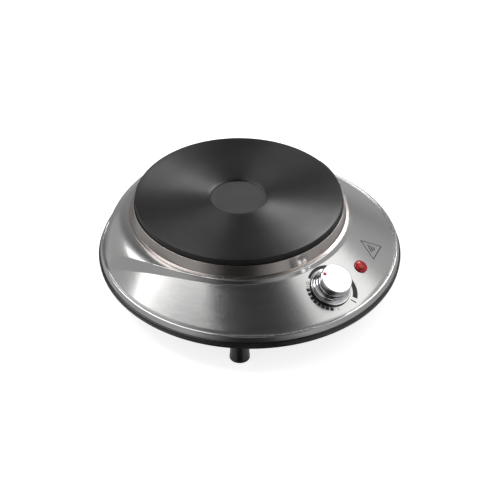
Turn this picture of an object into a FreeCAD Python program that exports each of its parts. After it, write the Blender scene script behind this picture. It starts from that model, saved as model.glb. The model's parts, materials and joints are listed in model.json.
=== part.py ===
import FreeCAD, Part
import math
import os

# Electric hot plate burner. Millimetres, +Z up, the control panel faces -Y and +X is right seen from
# the front. The origin is on the floor under the centre of the round body; the cooking plate stands
# behind it, nearer to the rear.

# ---- cooking plate and its trim ----
plate_dia = 185.0
plate_top_z = 78.0
plate_offset = 15.0            # plate axis behind the body axis
plate_side = 5.6               # height of the bare side above the trim ring
plate_edge_chamfer = 0.8
plate_rim_thickness = 12.0     # at the outer edge, where the trim ring's lip carries it
plate_core_thickness = 15.5    # where the coil lies
plate_core_inset = 6.5         # core radius less than the plate's
recess_dia = 50.0
recess_depth = 1.2
recess_slope = 0.6
coil_ring_radii = (36.0, 52.0, 68.0)
coil_groove_width = 9.0
coil_groove_depth = 8.5
coil_wire_r = 2.6
fill_gap = 0.15
cover_thickness = 0.8
cover_inset = 1.0               # cover radius less than the core's
trim_gap = 0.5                 # plate side to trim ring
trim_thickness = 0.7
trim_flare = 1.9               # the ring's wall leans out this much
trim_height = 11.0             # top of the ring above the shell's land
trim_flange = 3.4              # flat flange beyond the wall's foot
trim_lip_reach = 4.0           # lip under the plate's rim

# ---- steel shell ----
sheet = 0.7
land_margin = 0.7              # flat land beyond the trim ring's flange
land_hole_inset = 11.0
wall_height = 4.4              # step from the land down to the control panel
wall_run = 3.5
wall_draft = 0.21              # run per mm of height
shell_reach = 31.0             # rim radius beyond the land's
dome_roundness = 80.0          # degrees the rear dome turns through
crease_angle = 55.0            # the step follows the land this far round
crease_radius = 210.0          # and then runs out to the rim on this arc
crease_sweep = 40.0
skirt_reach = 3.8              # rolled edge beyond the rim line
skirt_height = 5.1             # rim line above the shell's bottom edge
roll_height = 3.3
bead_rise = 0.35
bead_width = 0.7

# ---- black base pan and feet ----
foot_height = 20.0             # floor to the pan's underside
pan_side_height = 10.2         # pan's underside to the shell's bottom edge
pan_bulge = 1.4                # beyond the shell's edge
pan_tuck = 4.2                 # floor's outer edge inwards of the bulge
pan_bevel = 7.0                # width of the sloped border of the floor
pan_floor = 2.4
pan_floor_rise = 1.8           # from the flat floor out to its rim
pan_bulge_share = 0.76         # height of the widest place, as a share of the side
pan_joint_gap = 0.3
spigot_wall = 1.9
spigot_height = 2.2
vent_count = 20
vent_length = 22.0
vent_width = 4.0
vent_ring_r = 76.0
centre_vent_inner_r = 22.0
centre_vent_outer_r = 30.0
centre_vent_spoke = 6.0
foot_inset = 7.0               # foot centres inwards of the flat floor's edge
foot_first_angle = 45.0
foot_count = 4
foot_top_r = 8.0
foot_bottom_r = 8.8
foot_pad_height = 2.0
foot_pad_rounding = 0.8
foot_pad_plug = 4.0            # height of the plug that holds the pad in the foot
foot_screw_r = 2.0
foot_screw_head_rim = 1.8      # head beyond the shank
foot_screw_head = 2.6
foot_screw_slot = 1.0
foot_screw_tail = 1.5          # beyond the lug
foot_counterbore_gap = 1.0
foot_web = 6.0                 # solid part of the foot above the screw head
boss_wall = 3.7
boss_height = 8.6
screw_clearance = 0.3
thread_clearance = 0.05
lug_width = 16.0
lug_sheet = 1.5
lug_flange = 4.0               # how much further the welded flange reaches

# ---- clamp that pulls the plate down on the shell ----
stud_r = 4.0
stud_depth = 9.0               # into the plate
spacer_height = 14.6
shield_sheet = 0.6
shield_inset = 8.5             # shield radius less than the plate's
shield_rise = 11.0
bridge_width = 22.0
bridge_thickness = 2.5
bridge_post = 2.5
bridge_inset = 5.5             # ends inwards of the land's edge
washer_rim = 5.0
washer_thickness = 1.6
nut_wall = 2.5                 # flats beyond the stud
nut_height = 6.5
earth_tab = 0.8
stud_tail = 2.0
spacer_wall = 3.0
earth_tongue = 16.0

# ---- plate terminals ----
terminal_spread = 9.0
terminal_pin_r = 1.2
terminal_tail = 8.0            # pin length below its ceramic block
plate_block_size = (32.0, 13.0, 11.0)
plate_block_rounding = 1.5
shield_window_margin = 2.0     # round the ceramic block

# ---- knob, thermostat and lamp ----
knob_drop = 18.7               # knob axis from the panel's top edge, in plan
knob_flange_dia = 36.0
knob_cap_inset = 3.8           # cap radius less than the flange's
knob_cap_wall = 1.2
knob_height = 17.0             # cap top above the panel
knob_panel_gap = 0.8
knob_flange_thickness = 1.9
knob_waist_z = 7.6
knob_wall = 2.0
knob_hub_wall = 2.6
knob_hub_top = 4.5             # above the waist
knob_spigot = 1.2              # ring that the cap is pressed on
knob_cap_roll = 0.9
knob_cap_gap = 0.15
knob_pointer_angle = 127.6     # at the off position, from +X, seen along the knob axis
pointer_r = 1.5
pointer_inset = 3.3            # from the cap's side
pointer_height = 0.35
spindle_r = 3.0
spindle_gap = 0.1
flat_depth = 1.0
spindle_top = 4.0              # above the knob's waist
knob_spring_width = 3.2
knob_spring_thickness = 0.4
flat_play = 0.5                # room for the spring on the flat
bush_wall = 1.5
bush_top = 3.2
bush_tail = 6.0                # below the bracket
bush_floor = 2.4
bush_collar = 1.5
bush_collar_height = 1.2
panel_nut_wall = 2.0
panel_nut = 2.2
bracket_sheet = 1.2
bracket_gap = 0.85
bracket_size = (30.0, 17.0)
weld_gap = 0.05
stack_offset = 13.0
stack_wall = 3.2               # ceramic ring round the rivet
stack_tail = 8.0               # blade beyond the stack
leaf_reach = 4.0               # leaf beyond the spindle's axis
rivet_r = 1.8
rivet_head_rim = 1.4
rivet_head = 1.4
arm_width = 6.0
blade_width = 6.3
pin_r = 1.5
pin_play = 0.25
pin_travel = 0.75
lamp_x = 41.3
lamp_drop = 20.2               # lamp axis from the panel's top edge, in plan
lens_flange = 1.8              # beyond the stem
lens_stem_r = 4.4
lens_wall = 0.8
lens_rise = 3.2
lens_seat = 0.25
lens_rim = 1.0
lens_stem_depth = 9.0
lens_facet_angle = 25.0
lens_facets = 8
clip_width = 3.3
clip_collar_wall = 1.0
clip_sheet = 0.8
clip_collar = 3.0
clip_gap = 0.35
lamp_clearance = 0.8           # lamp glass to lens stem
lamp_length = 12.0
lamp_tip = -0.1                # top of the lamp's glass, below the panel

# ---- supply ----
inlet_height = 8.7             # above the rim line
cord_hole_r = 3.7
grommet_wall = 1.9
grommet_rim = 2.8
grommet_flange = 2.4
grommet_gap = 0.1
grommet_stem = 6.0             # inwards of the shell's outer surface
grommet_inner_flange = 5.0
mains_block_size = (38.0, 15.0, 13.0)
mains_block_inset = 20.0       # from the pan's flat edge
mains_pole_pitch = 11.0
clamp_tube_r = 2.9
clamp_tube_wall = 0.7
clamp_screw_r = 1.5
clamp_screw_spread = 3.5
clamp_screw_sink = 1.0
clamp_tube_inset = 1.0
terminal_screw_r = 1.5
terminal_head_rim = 1.2
terminal_head = 1.8
lead_r = 1.1
lamp_lead_r = 0.7
lead_bend_share = 0.3        # of the shorter run, taken up by a bend
fuse_r = 2.6
fuse_length = 12.0

# ---- sizes that follow from the ones above ----
plate_r = plate_dia / 2
core_r = plate_r - plate_core_inset
core_bottom_z = plate_top_z - plate_core_thickness
rim_bottom_z = plate_top_z - plate_rim_thickness
cover_bottom_z = core_bottom_z - cover_thickness
groove_top_z = core_bottom_z + coil_groove_depth
coil_z = core_bottom_z + coil_groove_depth / 2
trim_top_z = plate_top_z - plate_side
trim_inner_r = plate_r + trim_gap
trim_flange_r = trim_inner_r + trim_flare + trim_flange
land_z = trim_top_z - trim_height
land_r = trim_flange_r + land_margin
land_hole_r = land_r - land_hole_inset
wall_z = land_z - wall_height
panel_r = land_r + wall_run
skirt_bottom_z = foot_height + pan_side_height
rim_z = skirt_bottom_z + skirt_height
rim_r = land_r + shell_reach
skirt_r = rim_r + skirt_reach
pan_wide_r = skirt_r + pan_bulge
pan_low_r = pan_wide_r - pan_tuck
pan_flat_r = pan_low_r - pan_bevel
pan_top_z = foot_height + pan_floor
joint_z = skirt_bottom_z - pan_joint_gap
foot_ring_r = pan_flat_r - foot_inset
foot_seat_z = foot_height - foot_web
foot_screw_head_r = foot_screw_r + foot_screw_head_rim
foot_counterbore_r = foot_screw_head_r + foot_counterbore_gap
boss_r = foot_screw_r + screw_clearance + boss_wall
boss_top_z = pan_top_z + boss_height
shield_r = plate_r - shield_inset
shield_floor_z = cover_bottom_z - spacer_height - shield_sheet
bridge_bottom_z = shield_floor_z - bridge_thickness
bridge_reach = land_r - bridge_inset
washer_r = stud_r + washer_rim
nut_flats = (stud_r + nut_wall) * 2
spacer_r = stud_r + spacer_wall
earth_tab_z = bridge_bottom_z - washer_thickness
nut_bottom_z = earth_tab_z - earth_tab - nut_height
earth_tongue_start = plate_offset + stud_r + 2
terminal_y = plate_offset - math.sqrt(coil_ring_radii[0] ** 2 - terminal_spread ** 2)
knob_flange_r = knob_flange_dia / 2
knob_cap_r = knob_flange_r - knob_cap_inset
pointer_ring_r = knob_cap_r - pointer_inset
bush_r = spindle_r + bush_wall
panel_nut_flats = (bush_r + panel_nut_wall) * 2
stack_r = rivet_r + stack_wall
rivet_head_r = rivet_r + rivet_head_rim
lamp_y = plate_offset - math.sqrt((panel_r + lamp_drop) ** 2 - lamp_x ** 2)
lens_r = lens_stem_r + lens_flange
lamp_r = lens_stem_r - lens_wall - lamp_clearance
inlet_z = rim_z + inlet_height
inlet_r = cord_hole_r + grommet_wall
grommet_flange_r = inlet_r + grommet_rim
mains_block_y = pan_flat_r - mains_block_inset
clamp_bore_r = clamp_tube_r - clamp_tube_wall
terminal_head_r = terminal_screw_r + terminal_head_rim
panel_thickness = sheet * (1 + (wall_z - rim_z) / (rim_r + plate_offset - panel_r))
corner_share = 1 - math.sqrt(0.5)  # how far inside its corner a quarter arc's middle lies
upward = FreeCAD.Vector(0, 0, 1)


def vec(x, y, z):
    return FreeCAD.Vector(x, y, z)


def save(node, *solids):
    shape = solids[0] if len(solids) == 1 else Part.makeCompound(list(solids))
    shape.exportStep("parts/" + node + ".step")


def rod(radius, z0, z1, x=0.0, y=0.0):
    return Part.makeCylinder(radius, z1 - z0, vec(x, y, z0))


def tube(outer, inner, z0, z1, x=0.0, y=0.0):
    return rod(outer, z0, z1, x, y).cut(rod(inner, z0 - 1, z1 + 1, x, y))


def block(size_x, size_y, z0, z1, x=0.0, y=0.0):
    return Part.makeBox(size_x, size_y, z1 - z0, vec(x - size_x / 2, y - size_y / 2, z0))


def circle_wire(radius, z, y):
    return Part.Wire(Part.makeCircle(radius, vec(0, y, z)))


def turned(path, y=0.0):
    """A solid of revolution from (radius, height) points; a middle triple marks an arc."""
    edges = []
    start = path[0]
    for step in path[1:] + [path[0]]:
        end = step[-2:]
        a = vec(start[0], 0, start[1])
        b = vec(end[0], 0, end[1])
        if len(step) == 4:
            edges.append(Part.Arc(a, vec(step[0], 0, step[1]), b).toShape())
        else:
            edges.append(Part.makeLine(a, b))
        start = end
    solid = Part.Face(Part.Wire(edges)).revolve(vec(0, 0, 0), upward, 360)
    solid.translate(vec(0, y, 0))
    return solid


def hexagon(flats, z0, z1, bore_r, x=0.0, y=0.0):
    corner = flats / 2 / math.cos(math.pi / 6)
    points = []
    for i in range(7):
        angle = math.radians(60 * i)
        points.append(vec(x + corner * math.cos(angle), y + corner * math.sin(angle), z0))
    prism = Part.Face(Part.makePolygon(points)).extrude(vec(0, 0, z1 - z0))
    return prism.cut(rod(bore_r, z0 - 1, z1 + 1, x, y))


# ---- the shell's outer form ----
def dome_ring(out, drop, inset):
    """Centre offset, radius and height of the rear dome's ring; out and drop run from 0 to 1."""
    radius = land_r + (rim_r - land_r) * out - inset
    return plate_offset * (1 - out), radius, land_z - (land_z - rim_z) * drop - inset


def make_dome(inset):
    """The rear dome: every level is a circle, and its profile is part of an ellipse, both exact."""
    full = math.radians(dome_roundness)
    profile = (
        (0, 0, 1.0),
        (math.tan(full / 2) / math.sin(full), 0, math.cos(full / 2)),
        (1, 1, 1.0),
    )
    eighth = math.sqrt(0.5)
    poles = []
    weights = []
    for out, drop, weight in profile:
        y, radius, z = dome_ring(out, drop, inset)
        row = []
        row_weights = []
        for k in range(9):
            angle = math.radians(45 * k - 90)
            reach = radius / eighth if k % 2 else radius
            row.append(vec(reach * math.cos(angle), y + reach * math.sin(angle), z))
            row_weights.append(weight * eighth if k % 2 else weight)
        poles.append(row)
        weights.append(row_weights)
    surface = Part.BSplineSurface()
    knots = [0, 1, 2, 3, 4]
    surface.buildFromPolesMultsKnots(
        poles, [3, 3], [3, 2, 2, 2, 3], [0, 1], knots, False, False, 2, 2, weights
    )
    caps = []
    for level in (0, 1):
        y, radius, z = dome_ring(level, level, inset)
        caps.append(Part.Face(circle_wire(radius, z, y)))
    shell = Part.makeShell([surface.toShape()] + caps)
    shell.sewShape()
    solid = Part.Solid(shell)
    if solid.Volume < 0:
        solid.reverse()
    return solid


finished_forms = {}


def crease_outline(grow, z):
    """Plan outline of the raised rear part, grown outwards: land arc, two run-outs, far behind."""
    lean = math.radians(crease_angle)
    side_sweep = math.radians(crease_sweep)
    behind = rim_r * 2
    out = vec(math.sin(lean), -math.cos(lean), 0)
    axis = vec(0, plate_offset, z)
    corner = axis + out * (land_r + grow)
    hub = axis - out * (crease_radius - land_r)
    reach = crease_radius + grow

    def on_run(turn):
        return hub + vec(math.sin(lean + turn), -math.cos(lean + turn), 0) * reach

    middle = on_run(side_sweep / 2)
    end = on_run(side_sweep)
    flip = FreeCAD.Matrix(-1, 0, 0, 0, 0, 1, 0, 0, 0, 0, 1, 0, 0, 0, 0, 1)
    nose = axis + vec(0, -(land_r + grow), 0)
    edges = [
        Part.Arc(flip.multVec(corner), nose, corner).toShape(),
        Part.Arc(corner, middle, end).toShape(),
        Part.makeLine(end, vec(end.x, behind, z)),
        Part.makeLine(vec(end.x, behind, z), vec(-end.x, behind, z)),
        Part.makeLine(vec(-end.x, behind, z), flip.multVec(end)),
        Part.Arc(flip.multVec(end), flip.multVec(middle), flip.multVec(corner)).toShape(),
    ]
    return Part.Wire(edges)


def body_form(inset, bottom_z=skirt_bottom_z - 1):
    """The solid under the shell's surface, with that surface sunk by inset."""
    if (inset, bottom_z) not in finished_forms:
        finished_forms[inset, bottom_z] = build_form(inset, bottom_z)
    return finished_forms[inset, bottom_z]


def build_form(inset, bottom_z):
    margin = 5.0
    panel = Part.makeLoft(
        [
            circle_wire(rim_r - inset, rim_z - inset, 0),
            circle_wire(panel_r - inset, wall_z - inset, plate_offset),
        ],
        True,
        True,
    )
    high = land_z + margin
    low = rim_z - margin
    raised = Part.makeLoft(
        [
            crease_outline(wall_draft * (land_z - low) - inset, low),
            crease_outline(-wall_draft * margin - inset, high),
        ],
        True,
        True,
    )
    bead_r = rim_r + bead_width
    top = rim_z + bead_rise
    side = skirt_r - inset
    bend = (skirt_r - bead_r) * corner_share
    skirt = turned(
        [
            (0, bottom_z),
            (side, bottom_z),
            (side, top - roll_height - inset),
            (side - bend, top - bend - inset, bead_r - inset, top - inset),
            (rim_r - inset, rim_z - inset),
            (0, rim_z - inset),
        ]
    )
    return skirt.fuse([panel, make_dome(inset).common(raised)])


def surface_fraction(x, y, inner_r):
    """How far out (x, y) lies, 0 at the inner circle round the plate axis and 1 at the rim."""
    back = y - plate_offset
    gain = rim_r - inner_r
    a = gain ** 2 - plate_offset ** 2
    b = inner_r * gain - back * plate_offset
    c = inner_r ** 2 - x ** 2 - back ** 2
    return (math.sqrt(b ** 2 - a * c) - b) / a


def panel_height(x, y):
    return wall_z - (wall_z - rim_z) * surface_fraction(x, y, panel_r)


def panel_placement(x, y):
    """Local +Z along the panel's outward normal at (x, y), local +X level to the right."""
    step = 0.01
    slope_x = (panel_height(x + step, y) - panel_height(x - step, y)) / (2 * step)
    slope_y = (panel_height(x, y + step) - panel_height(x, y - step)) / (2 * step)
    normal = vec(-slope_x, -slope_y, 1)
    normal.normalize()
    right = vec(1, 0, slope_x)
    right.normalize()
    rotation = FreeCAD.Rotation(right, normal.cross(right), normal, "ZXY")
    return FreeCAD.Placement(vec(x, y, panel_height(x, y)), rotation)


knob_place = panel_placement(0, plate_offset - panel_r - knob_drop)
lamp_place = panel_placement(lamp_x, lamp_y)


def placed(shape, place):
    shape.Placement = place.multiply(shape.Placement)
    return shape


def inlet_axis_cylinder(radius, y0, y1):
    return Part.makeCylinder(radius, y1 - y0, vec(0, y0, inlet_z), vec(0, 1, 0))


def rear_surface_y(z):
    """Where the dome's surface stands at this height, straight behind the body."""
    full = math.radians(dome_roundness)
    drop = (land_z - z) / (land_z - rim_z)
    turn = math.acos(1 - drop * (1 - math.cos(full)))
    out = math.sin(turn) / math.sin(full)
    return plate_offset * (1 - out) + land_r + (rim_r - land_r) * out


def foot_places():
    names = ("front_right", "rear_right", "rear_left", "front_left")
    for i in range(foot_count):
        angle = math.radians(foot_first_angle + 360 / foot_count * i - 90)
        yield names[i], foot_ring_r * math.cos(angle), foot_ring_r * math.sin(angle), angle


# ---- cooking plate ----
def make_plate():
    slope_r = recess_dia / 2 + recess_slope
    path = [
        (0, core_bottom_z),
        (core_r, core_bottom_z),
        (core_r, rim_bottom_z),
        (plate_r, rim_bottom_z),
        (plate_r, plate_top_z - plate_edge_chamfer),
        (plate_r - plate_edge_chamfer, plate_top_z),
        (slope_r, plate_top_z),
        (recess_dia / 2, plate_top_z - recess_depth),
        (0, plate_top_z - recess_depth),
    ]
    plate = turned(path, plate_offset)
    for ring_r in coil_ring_radii:
        half = coil_groove_width / 2
        groove = tube(ring_r + half, ring_r - half, core_bottom_z - 1, groove_top_z, y=plate_offset)
        plate = plate.cut(groove)
    tapping_r = stud_r + thread_clearance
    return plate.cut(rod(tapping_r, core_bottom_z - 1, core_bottom_z + stud_depth, y=plate_offset))


def terminal_pins(extra=0.0):
    bottom = cover_bottom_z - plate_block_size[2] - terminal_tail
    top = coil_z - coil_wire_r - fill_gap
    radius = terminal_pin_r + extra
    sides = (-terminal_spread, terminal_spread)
    return [rod(radius, bottom, top + extra, x, terminal_y) for x in sides]


def make_coil():
    middle = vec(0, plate_offset, coil_z)
    return [Part.makeTorus(ring_r, coil_wire_r, middle) for ring_r in coil_ring_radii]


def make_fill():
    fills = []
    pins = terminal_pins(fill_gap)
    for ring_r in coil_ring_radii:
        half = coil_groove_width / 2 - fill_gap
        ring = tube(ring_r + half, ring_r - half, core_bottom_z, groove_top_z, y=plate_offset)
        core = Part.makeTorus(ring_r, coil_wire_r + fill_gap, vec(0, plate_offset, coil_z))
        fills.append(ring.cut(core).cut(pins))
    return fills


def make_cover():
    hole_r = stud_r + screw_clearance
    cover = tube(core_r - cover_inset, hole_r, cover_bottom_z, core_bottom_z, y=plate_offset)
    return cover.cut(terminal_pins(screw_clearance))


def make_trim_ring():
    flange_top = land_z + trim_thickness
    lip_z = rim_bottom_z
    flare_foot_r = trim_inner_r + trim_flare
    wall = turned(
        [
            (trim_inner_r, trim_top_z),
            (trim_inner_r + trim_thickness, trim_top_z),
            (flare_foot_r + trim_thickness, flange_top),
            (trim_flange_r, flange_top),
            (trim_flange_r, land_z),
            (flare_foot_r, land_z),
        ],
        plate_offset,
    )
    lean = trim_flare * (trim_top_z - lip_z) / (trim_top_z - land_z)
    lip_outer_r = trim_inner_r + lean + trim_thickness / 2
    lip_inner_r = plate_r - trim_lip_reach
    return wall.fuse(tube(lip_outer_r, lip_inner_r, lip_z - trim_thickness, lip_z, y=plate_offset))


# ---- shell and pan ----
def make_shell():
    shell = body_form(0, skirt_bottom_z).cut(body_form(sheet))
    shell = shell.cut(rod(land_hole_r, wall_z - 10, land_z + 5, y=plate_offset))
    shell = shell.cut(placed(rod(bush_r + screw_clearance, -10, 10), knob_place))
    shell = shell.cut(placed(rod(lens_stem_r + screw_clearance, -10, 10), lamp_place))
    rear = rear_surface_y(inlet_z)
    return shell.cut(inlet_axis_cylinder(inlet_r + grommet_gap, rear - 15, rear + 15))


def make_pan():
    spigot_r = skirt_r - sheet - pan_joint_gap * 2
    inner_r = spigot_r - spigot_wall
    widest_z = foot_height + (joint_z - foot_height) * pan_bulge_share
    spigot_top = joint_z + spigot_height
    pan = turned(
        [
            (0, foot_height),
            (pan_flat_r, foot_height),
            (pan_low_r, foot_height + pan_floor_rise),
            (pan_wide_r - 1.1, foot_height + 4.0, pan_wide_r, widest_z),
            (pan_wide_r - 0.3, joint_z - 0.5, skirt_r, joint_z),
            (spigot_r, joint_z),
            (spigot_r, spigot_top),
            (inner_r, spigot_top),
            (inner_r, joint_z - 1.5),
            (pan_low_r - pan_floor, pan_top_z + pan_floor_rise),
            (pan_flat_r, pan_top_z),
            (0, pan_top_z),
        ]
    )
    for _, x, y, _ in foot_places():
        pan = pan.fuse(rod(boss_r, foot_height + 0.5, boss_top_z, x, y))
    holes = []
    for _, x, y, _ in foot_places():
        holes.append(rod(foot_screw_r + screw_clearance, foot_height - 1, boss_top_z + 1, x, y))
    slot = block(vent_length, vent_width, foot_height - 1, pan_top_z + 1, vent_ring_r)
    for i in range(vent_count):
        vent = slot.copy()
        vent.rotate(vec(0, 0, 0), upward, 360 / vent_count * (i + 0.5))
        holes.append(vent)
    centre_vent = tube(centre_vent_outer_r, centre_vent_inner_r, foot_height - 1, pan_top_z + 1)
    for i in range(4):
        spoke = block(centre_vent_outer_r * 3, centre_vent_spoke, foot_height - 2, pan_top_z + 2)
        spoke.rotate(vec(0, 0, 0), upward, 45 * i)
        centre_vent = centre_vent.cut(spoke)
    holes.append(centre_vent)
    screw_x = mains_pole_pitch / 2
    screw_hole_r = terminal_screw_r + thread_clearance
    holes.append(rod(screw_hole_r, foot_height - 1, pan_top_z + 1, screw_x, mains_block_y))
    return pan.cut(holes)


def make_foot(x, y):
    low = vec(x, y, foot_pad_height)
    body = Part.makeCone(foot_bottom_r, foot_top_r, foot_height - foot_pad_height, low)
    body = body.cut(rod(foot_counterbore_r, 0, foot_seat_z, x, y))
    return body.cut(rod(foot_screw_r + screw_clearance, 0, foot_height + 1, x, y))


def make_foot_pad(x, y):
    pad = rod(foot_bottom_r, 0, foot_pad_height, x, y)
    pad = pad.makeFillet(foot_pad_rounding, [pad.Edges[2]])
    plug_r = foot_counterbore_r - screw_clearance
    return pad.fuse(rod(plug_r, foot_pad_height - 0.5, foot_pad_height + foot_pad_plug, x, y))


def make_foot_screw(x, y):
    head_z = foot_seat_z - foot_screw_head
    shank = rod(foot_screw_r, foot_seat_z - 1, boss_top_z + lug_sheet + foot_screw_tail, x, y)
    head = rod(foot_screw_head_r, head_z, foot_seat_z, x, y)
    slot = block(foot_screw_slot, foot_screw_head_r * 3, head_z - 1, head_z + foot_screw_slot, x, y)
    return shank.fuse(head).cut(slot)


def make_lug(x, y, angle):
    """Z-shaped lug: foot on the pan's boss, web, and a flange welded under the shell."""
    reach = lug_width + lug_flange
    foot = block(lug_width, lug_width, boss_top_z, boss_top_z + lug_sheet)
    web = block(lug_sheet, lug_width, boss_top_z, land_z, -lug_width / 2 + lug_sheet / 2)
    flange_x = -reach / 2 - lug_width / 2 + lug_sheet
    flange = block(reach, lug_width, boss_top_z + lug_sheet, land_z, flange_x)
    placing = FreeCAD.Placement(vec(x, y, 0), FreeCAD.Rotation(upward, math.degrees(angle)))
    inside = body_form(sheet + weld_gap)
    deeper = body_form(sheet + lug_sheet)
    lug = placed(foot, placing).fuse(placed(web, placing).common(inside))
    lug = lug.fuse(placed(flange, placing).common(inside).cut(deeper))
    tapping_r = foot_screw_r + thread_clearance
    return lug.cut(rod(tapping_r, boss_top_z - 1, boss_top_z + lug_sheet + 1, x, y))


# ---- clamp ----
def make_bridge():
    floor = block(2 * bridge_reach, bridge_width, bridge_bottom_z, shield_floor_z, y=plate_offset)
    posts = []
    for side in (-1, 1):
        centre = side * (bridge_reach - bridge_post / 2)
        posts.append(block(bridge_post, bridge_width, bridge_bottom_z, land_z - sheet, centre, plate_offset))
    bar = floor.fuse(posts)
    return bar.cut(rod(stud_r + screw_clearance, bridge_bottom_z - 1, shield_floor_z + 1, y=plate_offset))


def make_heat_shield():
    top = shield_floor_z + shield_rise
    hole_r = stud_r + screw_clearance
    pan = tube(shield_r, hole_r, shield_floor_z, shield_floor_z + shield_sheet, y=plate_offset)
    wall = tube(shield_r, shield_r - shield_sheet, shield_floor_z, top, y=plate_offset)
    size_x, size_y, _ = plate_block_size
    margin = shield_window_margin * 2
    window = block(
        size_x + margin, size_y + margin, shield_floor_z - 1, shield_floor_z + 2, y=terminal_y
    )
    return pan.fuse(wall).cut(window)


def make_plate_block():
    size_x, size_y, size_z = plate_block_size
    body = block(size_x, size_y, cover_bottom_z - size_z, cover_bottom_z, y=terminal_y)
    body = body.makeFillet(plate_block_rounding, [body.Edges[0], body.Edges[2], body.Edges[4], body.Edges[6]])
    return body.cut(terminal_pins(fill_gap))


# ---- thermostat, in the knob's local frame: z 0 is the panel's outer surface ----
bracket_top = -panel_thickness - bracket_gap
bracket_bottom = bracket_top - bracket_sheet
bush_bottom = bracket_bottom - bush_tail
spindle_bottom = bush_bottom + bush_floor
stack_layers = (
    ("ring", 3.4),
    ("supply_blade", 0.8),
    ("ring", 3.9),
    ("contact_arm", 0.4),
    ("ring", 1.9),
    ("bimetal_strip", 0.6),
    ("ring", 2.2),
    ("load_blade", 0.8),
)
arm_top = bracket_bottom - sum(thickness for _, thickness in stack_layers[:3])


def make_bracket():
    size_x, size_y = bracket_size
    plate = block(size_x, size_y, bracket_bottom, bracket_top, stack_offset / 3)
    return plate.cut([rod(bush_r, -20, 20), rod(rivet_r + thread_clearance, -20, 20, stack_offset)])


def make_bush():
    bush = rod(bush_r, bush_bottom, bush_top)
    collar_r = bush_r + bush_collar
    inside_r = bush_r - 0.5
    collar = tube(collar_r, inside_r, bracket_bottom - bush_collar_height, bracket_bottom)
    washer = tube(collar_r, inside_r, bracket_top, bracket_top + bracket_gap - fill_gap)
    bush = bush.fuse([collar, washer])
    upper = rod(spindle_r + spindle_gap, spindle_bottom - pin_play, bush_top + 1)
    return bush.cut([upper, rod(pin_r + spindle_gap, bush_bottom - 1, 0)])


def leaf(length, width, z0, thickness, start):
    """A flat leaf clamped in the stack, reaching from start towards the spindle's axis."""
    strip = block(length, width, z0 - thickness, z0, start - length / 2)
    return strip.cut(rod(rivet_r + thread_clearance, -40, 20, stack_offset))


def make_stack():
    """Everything on the stack's rivet, from the bracket down; returns node name to solids."""
    tail = stack_offset + stack_r + stack_tail
    pieces = {"stack_insulators": []}
    z = bracket_bottom
    for name, thickness in stack_layers:
        if name == "ring":
            ring = tube(stack_r, rivet_r + thread_clearance, z - thickness, z, stack_offset)
            pieces["stack_insulators"].append(ring)
        elif name.endswith("blade"):
            pieces[name] = [leaf(stack_tail + stack_r * 2, blade_width, z, thickness, tail)]
        else:
            start = stack_offset + stack_r
            pieces[name] = [leaf(start + leaf_reach, arm_width, z, thickness, start)]
        z -= thickness
    shank = rod(rivet_r, z - 0.5, bracket_top + spindle_gap, stack_offset)
    pieces["stack_rivet"] = [shank.fuse(rod(rivet_head_r, z - rivet_head, z, stack_offset))]
    return pieces


def make_spindle():
    spindle = rod(spindle_r, spindle_bottom, knob_waist_z + spindle_top)
    size = spindle_r * 2
    flat_z = bush_top + screw_clearance
    flat = block(size, size, flat_z, knob_waist_z + spindle_top + 1, y=size - flat_depth)
    return spindle.cut(flat)


def make_knob_body():
    z0 = knob_panel_gap
    flange_r = knob_flange_r
    cap_r = knob_cap_r
    step_r = flange_r - 1.6
    wall = knob_wall
    spigot_r = cap_r - knob_cap_wall - knob_cap_gap
    step_z = z0 + knob_flange_thickness + 0.3
    shell = turned(
        [
            (flange_r - 0.6, z0),
            (flange_r, z0 + 0.6),
            (flange_r, z0 + knob_flange_thickness - 0.5),
            (flange_r - 0.5, z0 + knob_flange_thickness),
            (step_r, step_z),
            (cap_r + 0.8, step_z + 1.7, cap_r, knob_waist_z),
            (spigot_r, knob_waist_z),
            (spigot_r, knob_waist_z + knob_spigot),
            (0, knob_waist_z + knob_spigot),
            (0, knob_waist_z - wall),
            (cap_r - wall, knob_waist_z - wall),
            (cap_r - wall, z0),
        ]
    )
    hub_bottom = bush_top + flat_play
    hub = rod(spindle_r + knob_hub_wall, hub_bottom, knob_waist_z + knob_hub_top)
    bore = rod(spindle_r + thread_clearance, bush_top, knob_waist_z + spindle_top + spindle_gap)
    size = spindle_r * 2
    flat_y = size - flat_depth + thread_clearance + flat_play
    flat = block(size, size, bush_top, knob_waist_z + knob_hub_top + 1, y=flat_y)
    return shell.fuse(hub).cut(bore.cut(flat))


def make_knob_spring():
    y = spindle_r - flat_depth + (flat_play + thread_clearance) / 2
    low = bush_top + 1.4
    high = knob_waist_z + spindle_top - 0.4
    return block(knob_spring_width, knob_spring_thickness, low, high, y=y)


def make_knob_cap():
    r = knob_cap_r
    top = knob_height
    roll = knob_cap_roll
    bend = roll * corner_share
    wall = knob_cap_wall
    return turned(
        [
            (r - wall, knob_waist_z + knob_cap_gap),
            (r, knob_waist_z + knob_cap_gap),
            (r, top - roll),
            (r - bend, top - bend, r - roll, top),
            (0, top),
            (0, top - wall),
            (r - wall, top - wall),
        ]
    )


def make_pointer():
    angle = math.radians(knob_pointer_angle)
    x = pointer_ring_r * math.cos(angle)
    y = pointer_ring_r * math.sin(angle)
    return rod(pointer_r, knob_height, knob_height + pointer_height, x, y)


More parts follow.
